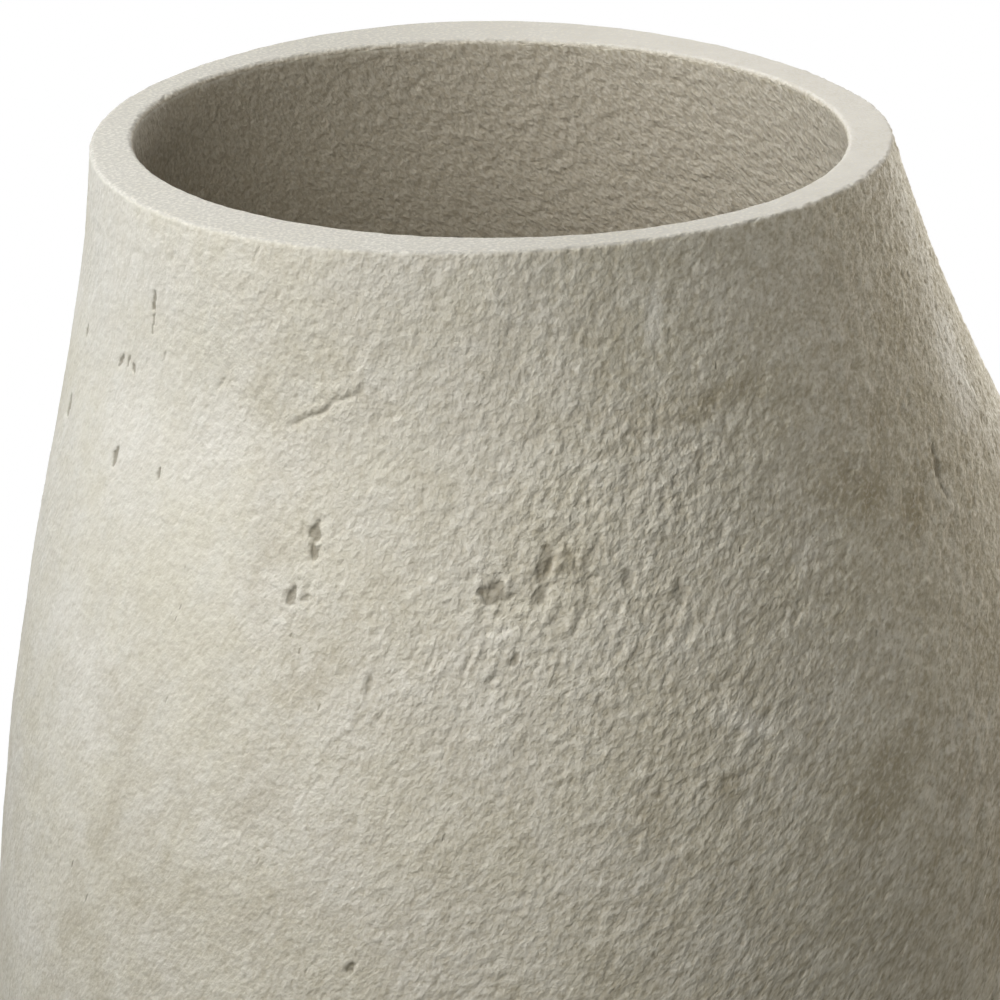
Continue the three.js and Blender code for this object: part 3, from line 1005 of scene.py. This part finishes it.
# The values between which each effect grows, and its strength at both where that isn't 0 and 1
WARM_SPAN = (0.36, 0.66)
COOL_SPAN = (0.46, 0.66, 0.0, 0.45)
BROWN_PATCH_SPAN = (-0.05, -0.60, 0.0, 0.85)
LIGHT_PATCH_SPAN = (0.15, 0.75, 0.0, 0.80)
SPECK_AND_HIGHLIGHT_SPAN = (0.50, 0.66)
HOLLOW_SPAN = (0.48, 0.34)
SANDY_SPAN = (0.38, 0.62)
RIM_PAINTED_LIGHT_SPAN = (0.32, 0.78)
RIM_SPAN = (0.64, 0.42, 0.44, 0.97)
STROKE_PLACE_SPAN = (0.58, 0.64)
STROKE_SPAN = (0.12, 0.05, 0.0, 0.7)
DIRT_AND_PIT_SHADE_SPAN = (0.15, 0.85)
SKIN_SPAN = (-0.22, 0.24, -0.5, 0.5)
BARE_SPAN = (0.50, -0.50)
CLAY_ROUGHNESS_SPAN = (0.3, 0.7, 0.96, 0.84)

# How much of an effect there is for each part of the browning, which is partly painted shade, and how much
# without
PATCH_VARIETY = (1.7, 0.45)
BARE_SHARE = (0.58, 0.06)
SPECK_AND_HIGHLIGHT_SHARE = (0.60, 0.06)
HOLLOW_SHARE = (0.85, 0.03)
TAN_SHARE = 0.72
DIRT_AND_PIT_SHADE_SHARE = 0.62

# The bump: each noise's share in it, by the strengths that the mesh carries, and its height
FINE_BY_GRIT = 0.50
FINE_LEAST = 0.26
COARSE_BY_GRIT = 1.45
COARSE_BY_TORN = 0.40
SKIN_BY_GRIT = 0.06
SKIN_BY_TORN = 0.12
PIT_BUMP_DEPTH = 0.5
FLAKE_EDGE_SWING = 1.4
GRAIN_HEIGHT = 0.0009
CLAY_SHINE = 0.25
STROKES_PER_METRE = 150.0
STROKE_STRETCH = (1.0, 1.0, 0.30)


def clay_colour(tree, place, bare, grains, dirt_and_pit_shade):
    """Pale clay with faint warm and cool clouds, browner where its skin is off. It browns away from the
    lamps and low down, partly as painted shade, and its rim is painted lighter away from the lamps. Its
    pits, cracks and strokes take brown dirt and painted shade, and its grain pale specks and brown
    hollows, partly painted highlight and shade.
    The inside is sandy, darker in the grain's hollows, partly as painted shade.
    """
    object_place = node(tree, "TexCoord").outputs["Object"]
    brown_and_shade = strength(tree, "brown_and_shade")
    cloud = noise(tree, object_place, *CLOUD_NOISE)
    blotch = noise(tree, place, *BLOTCH_NOISE)
    variety = maths(tree, "MULTIPLY_ADD", brown_and_shade, *PATCH_VARIETY)
    patchy = centred(tree, noise(tree, place, *PATCH_NOISE))
    patchy = maths(tree, "MULTIPLY_ADD", patchy, variety, strength(tree, "tone_and_painted_light"))
    colour = mixed(tree, ranged(tree, cloud, *WARM_SPAN), PALE_CLAY, WARM_CLAY)
    layers = [
        (ranged(tree, blotch, *COOL_SPAN), COOL_CLAY),
        (maths(tree, "MULTIPLY", brown_and_shade, TAN_SHARE), TAN_CLAY),
        (maths(tree, "MULTIPLY", bare, maths(tree, "MULTIPLY_ADD", brown_and_shade, *BARE_SHARE)), BROWN_CLAY),
        (ranged(tree, patchy, *BROWN_PATCH_SPAN), BROWN_CLAY),
        (ranged(tree, patchy, *LIGHT_PATCH_SPAN), LIGHT_CLAY_AND_PAINTED_LIGHT),
    ]
    # Pale specks on the grain's crests and brown in its hollows, which follow the fine bump: partly the
    # clay's own grain, partly painted highlight and painted shade
    for span, by_brown, layer in (
        (SPECK_AND_HIGHLIGHT_SPAN, SPECK_AND_HIGHLIGHT_SHARE, LIGHT_CLAY_AND_PAINTED_LIGHT),
        (HOLLOW_SPAN, HOLLOW_SHARE, BROWN_CLAY),
    ):
        most = maths(tree, "MULTIPLY_ADD", brown_and_shade, *by_brown)
        layers.append((maths(tree, "MULTIPLY", ranged(tree, grains, *span), most), layer))
    # The sandy inside is darker in the grain's hollows, partly its own colour and partly painted shade
    sandy = mixed(tree, ranged(tree, grains, *SANDY_SPAN), SANDY_HOLLOW, SANDY_CLAY)
    # The rim is painted lighter towards its right and back, where the lamps light it less
    rim_colour_with_painted_light = mixed(tree, ranged(tree, brown_and_shade, *RIM_PAINTED_LIGHT_SPAN), RIM_CLAY, RIM_PAINTED_LIGHT_CLAY)
    rim_share = maths(tree, "MULTIPLY", strength(tree, "rim"), ranged(tree, grains, *RIM_SPAN))
    layers += [
        (strength(tree, "inside"), sandy),
        (rim_share, rim_colour_with_painted_light),
        (maths(tree, "MULTIPLY", dirt_and_pit_shade, DIRT_AND_PIT_SHADE_SHARE), DIRT_AND_PIT_SHADE),
    ]
    for share, layer in layers:
        colour = mixed(tree, share, colour, layer)
    return colour


def clay_strokes(tree, place):
    """Small dark strokes on parts of the outer wall: tiny pits, darkened with painted shade and a little
    dirt.
    """
    stroke_place = node(tree, "Mapping", {"Vector": place, "Scale": STROKE_STRETCH}).outputs[0]
    inputs = {"Vector": stroke_place, "Scale": STROKES_PER_METRE}
    middles = node(tree, "TexVoronoi", inputs).outputs["Distance"]
    few = ranged(tree, noise(tree, place, *STROKE_PLACE_NOISE), *STROKE_PLACE_SPAN)
    strokes = maths(tree, "MULTIPLY", ranged(tree, middles, *STROKE_SPAN), few)
    elsewhere = maths(tree, "ADD", strength(tree, "inside"), strength(tree, "rim"))
    return maths(tree, "MULTIPLY", strokes, maths(tree, "SUBTRACT", 1.0, elsewhere))


def clay_material():
    material, tree, shader = new_material("fired_clay")
    place = node(tree, "Attribute", attribute_name="grain_place").outputs["Vector"]
    grit = strength(tree, "grit")
    torn = strength(tree, "torn")
    # Pits, cracks and strokes take brown dirt and painted shade, and sink in the bump
    pits = ranged(tree, strength(tree, "dirt"), *DIRT_AND_PIT_SHADE_SPAN)
    dirt_and_pit_shade = maths(tree, "MAXIMUM", pits, clay_strokes(tree, place))
    edges = centred(tree, noise(tree, place, *FLAKE_EDGE_NOISE))
    plates = maths(tree, "MULTIPLY_ADD", edges, FLAKE_EDGE_SWING, strength(tree, "flake"))
    bare = ranged(tree, plates, *BARE_SPAN)
    fine = noise(tree, place, *FINE_NOISE)

    share = maths(tree, "MAXIMUM", maths(tree, "MULTIPLY", grit, FINE_BY_GRIT), FINE_LEAST)
    height = maths(tree, "MULTIPLY", centred(tree, fine), share)
    for part, by_grit, by_torn in (
        (centred(tree, noise(tree, place, *COARSE_NOISE)), COARSE_BY_GRIT, COARSE_BY_TORN),
        (ranged(tree, plates, *SKIN_SPAN), SKIN_BY_GRIT, SKIN_BY_TORN),
    ):
        share = maths(tree, "MULTIPLY_ADD", torn, by_torn, maths(tree, "MULTIPLY", grit, by_grit))
        height = maths(tree, "MULTIPLY_ADD", part, share, height)
    height = maths(tree, "MULTIPLY_ADD", dirt_and_pit_shade, -PIT_BUMP_DEPTH, height)
    bump = node(tree, "Bump", {"Strength": 1.0, "Distance": GRAIN_HEIGHT, "Height": height})
    tree.links.new(bump.outputs[0], shader.inputs["Normal"])
    tree.links.new(clay_colour(tree, place, bare, fine, dirt_and_pit_shade), shader.inputs["Base Color"])
    tree.links.new(ranged(tree, fine, *CLAY_ROUGHNESS_SPAN), shader.inputs["Roughness"])
    shader.inputs["Specular IOR Level"].default_value = CLAY_SHINE
    return material


BLACK_RUBBER = shade(44, 43, 41)
GREY_RUBBER = shade(72, 69, 63)
RUBBER_CLOUD_NOISE = (90.0, 3.0, 0.6)
RUBBER_GRAIN_NOISE = (1400.0, 2.0, 0.6)
GREY_SPAN = (0.40, 0.70)
RUBBER_ROUGHNESS_SPAN = (0.3, 0.7, 0.58, 0.80)
RUBBER_BUMP = 0.5
RUBBER_GRAIN_HEIGHT = 0.0002


def rubber_material():
    material, tree, shader = new_material("black_rubber")
    place = node(tree, "TexCoord").outputs["Object"]
    cloud = noise(tree, place, *RUBBER_CLOUD_NOISE)
    grain = noise(tree, place, *RUBBER_GRAIN_NOISE)
    colour = mixed(tree, ranged(tree, cloud, *GREY_SPAN), BLACK_RUBBER, GREY_RUBBER)
    tree.links.new(colour, shader.inputs["Base Color"])
    tree.links.new(ranged(tree, cloud, *RUBBER_ROUGHNESS_SPAN), shader.inputs["Roughness"])
    inputs = {"Strength": RUBBER_BUMP, "Distance": RUBBER_GRAIN_HEIGHT, "Height": grain}
    tree.links.new(node(tree, "Bump", inputs).outputs[0], shader.inputs["Normal"])
    return material


# The drain plug and the pads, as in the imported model
CLEARANCE = 0.0003
PLUG_STEM_LENGTH = 0.021
PLUG_TIP = 0.001
PLUG_TIP_TAPER = 1.2
PLUG_RIBS = 3
PLUG_RIB_HEIGHT = 0.0013
PLUG_RIB_WIDTH = 0.0032
PLUG_RIB_SIDE = (0.1, 1)
PLUG_FLANGE_RADIUS = 0.029
PLUG_FLANGE = 0.004
PLUG_FLANGE_CHAMFER = 0.0005
PLUG_WAIST_RADIUS = 0.007
PLUG_WAIST = 0.009
PLUG_WAIST_FILLET = 0.0025
PLUG_NECK_FILLET = 0.001
PLUG_KNOB_RADIUS = 0.012
PLUG_KNOB = 0.009
PLUG_KNOB_ROUNDING = 0.0035
PLUG_DIMPLE = 0.0008
PLUG_DIMPLE_STEP = 0.001
PLUG_DIMPLE_FLOOR = 0.002
PLUG_DIMPLE_END = 0.0005
PLUG_STEM_POINTS = 50
PLUG_EDGE_POINTS = 7
PLUG_NECK_POINTS = 4
PLUG_SIDES = 72
PAD_RADIUS = 0.016
PAD_THICKNESS = 0.0067
PAD_EDGE = 0.001
PAD_HOLLOW = 0.0006
PAD_HOLLOW_RADII = (0.006, 0.007)
PAD_EDGE_POINTS = 6
PAD_SIDES = 56


def plug_profile():
    """Radius and height of the bung: a ribbed stem, a flange that lies on the floor, and a knob."""
    stem_radius = DRAIN_RADIUS - CLEARANCE - PLUG_RIB_HEIGHT
    tip_radius = stem_radius - PLUG_RIB_HEIGHT
    bottom = FLOOR_HEIGHT - PLUG_STEM_LENGTH
    heights = np.linspace(bottom + PLUG_TIP, FLOOR_HEIGHT, PLUG_STEM_POINTS)
    pitch = PLUG_STEM_LENGTH / (PLUG_RIBS + 1)
    radii = np.full(PLUG_STEM_POINTS, stem_radius)
    for rib in range(1, PLUG_RIBS + 1):
        gap = np.abs(heights - bottom - rib * pitch) / (PLUG_RIB_WIDTH / 2)
        radii = np.maximum(radii, stem_radius + PLUG_RIB_HEIGHT * (1 - ease_between(*PLUG_RIB_SIDE, gap)))
    radii = np.minimum(radii, tip_radius + (heights - bottom) * PLUG_TIP_TAPER)
    flange_foot = FLOOR_HEIGHT + CLEARANCE
    flange_top = flange_foot + PLUG_FLANGE
    edge = PLUG_FLANGE / 2
    waist = PLUG_WAIST_RADIUS
    fillet = PLUG_WAIST_FILLET
    neck = PLUG_NECK_FILLET
    rounding = PLUG_KNOB_ROUNDING
    knob_foot = flange_top + PLUG_WAIST
    knob_edge = PLUG_KNOB_RADIUS - rounding
    knob_top = knob_foot + PLUG_KNOB
    dimple = steps_between(knob_edge - PLUG_DIMPLE_STEP, PLUG_DIMPLE_END, PLUG_DIMPLE_STEP)
    dimple_depth = PLUG_DIMPLE * ease_between(knob_edge, PLUG_DIMPLE_FLOOR, dimple)
    profile = [
        [[0, bottom], [tip_radius, bottom]],
        pairs(radii, heights),
        [[stem_radius, flange_foot], [PLUG_FLANGE_RADIUS - PLUG_FLANGE_CHAMFER, flange_foot]],
        round_edge((PLUG_FLANGE_RADIUS - edge, flange_top - edge), edge, 0, 90, PLUG_EDGE_POINTS),
        round_edge((waist + fillet, flange_top + fillet), fillet, 270, 180, PLUG_EDGE_POINTS),
        round_edge((waist + neck, knob_foot - neck), neck, 180, 90, PLUG_NECK_POINTS),
        round_edge((knob_edge, knob_foot + rounding), rounding, -90, 0, PLUG_EDGE_POINTS),
        round_edge((knob_edge, knob_top - rounding), rounding, 0, 90, PLUG_EDGE_POINTS),
        pairs(dimple, knob_top - dimple_depth),
        [[0, knob_top - PLUG_DIMPLE]],
    ]
    return np.concatenate(profile)


def pad_profile():
    """Radius and height of a pad, with round edges and a shallow hollow underneath."""
    inner = PAD_RADIUS - PAD_EDGE
    hollow_radius, hollow_edge = PAD_HOLLOW_RADII
    profile = [
        [[0, PAD_HOLLOW], [hollow_radius, PAD_HOLLOW], [hollow_edge, 0.0]],
        round_edge((inner, PAD_EDGE), PAD_EDGE, -90, 0, PAD_EDGE_POINTS),
        round_edge((inner, PAD_THICKNESS - PAD_EDGE), PAD_EDGE, 0, 90, PAD_EDGE_POINTS),
        [[0, PAD_THICKNESS]],
    ]
    return np.concatenate(profile)


def add_piece(made, material, body, node_name):
    made.data.materials.append(material)
    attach(made, body)
    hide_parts(node_name)


def add_pieces():
    add_piece(clay_pot(), clay_material(), "pot", "pot_shell")
    rubber = rubber_material()
    add_piece(lathe("plug_moulding", plug_profile(), PLUG_SIDES), rubber, "plug", "drain_plug")
    for corner in ("front_left", "front_right", "back_left", "back_right"):
        pad = f"foot_pad_{corner}"
        low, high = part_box(pad)
        centre = ((low.x + high.x) / 2, (low.y + high.y) / 2, 0)
        add_piece(lathe(f"pad_{corner}", pad_profile(), PAD_SIDES, centre), rubber, "pot", pad)


STAGE_RADIUS = 14.0
STAGE_SIDES = 96
WHITE_SPAN = (0.40, 0.58)
WHITE = (1.0, 1.0, 1.0, 1.0)
FLOOR_AS_SEEN = (0.93, 0.93, 0.93, 1.0)
FLOOR_AS_IT_LIGHTS = (0.18, 0.18, 0.17, 1.0)


def shown_white(tree):
    """1 for rays that show the stage, in mirrors and glass too, and 0 for those that light the pot."""
    path = node(tree, "LightPath").outputs
    seen = maths(tree, "MAXIMUM", path["Is Camera Ray"], path["Is Glossy Ray"])
    return maths(tree, "MAXIMUM", seen, path["Is Transmission Ray"])


def add_stage():
    """A pale floor that takes the pot's shadow and turns into the white background further out."""
    mesh = bpy.data.meshes.new("studio_floor")
    turns = np.linspace(0, 2 * math.pi, STAGE_SIDES, False)
    ring = [(STAGE_RADIUS * math.cos(turn), STAGE_RADIUS * math.sin(turn), 0) for turn in turns]
    mesh.from_pydata(ring, [], [list(range(STAGE_SIDES))])
    floor = bpy.data.objects.new("studio_floor", mesh)
    bpy.context.collection.objects.link(floor)
    material, tree, shader = new_material("pale_floor")
    seen = shown_white(tree)
    colour = mixed(tree, seen, FLOOR_AS_IT_LIGHTS, FLOOR_AS_SEEN)
    tree.links.new(colour, shader.inputs["Base Color"])
    shader.inputs["Roughness"].default_value = 1.0
    shader.inputs["Specular IOR Level"].default_value = 0.0
    place = node(tree, "TexCoord").outputs["Object"]
    reach = node(tree, "VectorMath", {0: place}, operation="LENGTH").outputs["Value"]
    share = maths(tree, "MULTIPLY", ranged(tree, reach, *WHITE_SPAN), seen)
    glow = node(tree, "Emission", {"Color": WHITE, "Strength": 1.0}).outputs[0]
    both = node(tree, "MixShader", {0: share, 1: shader.outputs[0], 2: glow}).outputs[0]
    tree.links.new(both, tree.nodes["Material Output"].inputs["Surface"])
    mesh.materials.append(material)


AMBIENT_LIGHT = 0.02
AMBIENT_COLOUR = (1.0, 0.97, 0.89, 1.0)


def add_world():
    world = bpy.data.worlds.new("studio")
    bpy.context.scene.world = world
    world.use_nodes = True
    tree = world.node_tree
    dim = node(tree, "Background", {"Color": AMBIENT_COLOUR, "Strength": AMBIENT_LIGHT}).outputs[0]
    white = node(tree, "Background", {"Color": WHITE, "Strength": 1.0}).outputs[0]
    both = node(tree, "MixShader", {0: shown_white(tree), 1: dim, 2: white}).outputs[0]
    tree.links.new(both, tree.nodes["World Output"].inputs["Surface"])


LIGHT_AIM = Vector((-0.02, 0.0, 0.50))
LIGHT_DISTANCE = 1.6
LIGHT_SIZE = 0.9

# Each light's name, its bearing and elevation in degrees, its power in watts and its colour
LIGHTS = (
    ("key", -150, 41, 13.2, (1.0, 0.975, 0.945)),
    ("front", -107, 32, 9.0, (1.0, 0.98, 0.91)),
    ("left", 180, 47, 11.0, (0.91, 0.96, 1.0)),
    ("right_low", 20, -5, 14.6, (1.0, 0.93, 0.83)),
    ("back_right", 60, 0, 20.0, (0.93, 0.96, 0.98)),
    ("back_high", 90, 60, 8.6, (1.0, 0.95, 0.88)),
)


def add_light(name, bearing, elevation, power, colour):
    """A soft square light that stands at a bearing and an elevation from the middle of the upper wall."""
    turn, rise = math.radians(bearing), math.radians(elevation)
    way = Vector((math.cos(turn) * math.cos(rise), math.sin(turn) * math.cos(rise), math.sin(rise)))
    light = bpy.data.lights.new(name, "AREA")
    light.shape = "SQUARE"
    light.size = LIGHT_SIZE
    light.energy = power
    light.color = colour
    holder = bpy.data.objects.new(name, light)
    holder.location = LIGHT_AIM + LIGHT_DISTANCE * way
    holder.rotation_euler = (-way).to_track_quat("-Z", "Y").to_euler()
    bpy.context.collection.objects.link(holder)


def add_camera():
    data = bpy.data.cameras.new("camera")
    data.lens = CAMERA_LENS
    data.sensor_width = CAMERA_SENSOR
    data.clip_end = CAMERA_REACH
    camera = bpy.data.objects.new("camera", data)
    camera.location = CAMERA_PLACE
    camera.rotation_euler = (math.radians(90 - CAMERA_PITCH), 0, 0)
    bpy.context.collection.objects.link(camera)
    bpy.context.scene.camera = camera


add_pieces()
add_stage()
add_world()
for name, bearing, elevation, power, colour in LIGHTS:
    add_light(name, bearing, elevation, power, colour)
add_camera()
bpy.context.scene.view_settings.view_transform = "Standard"
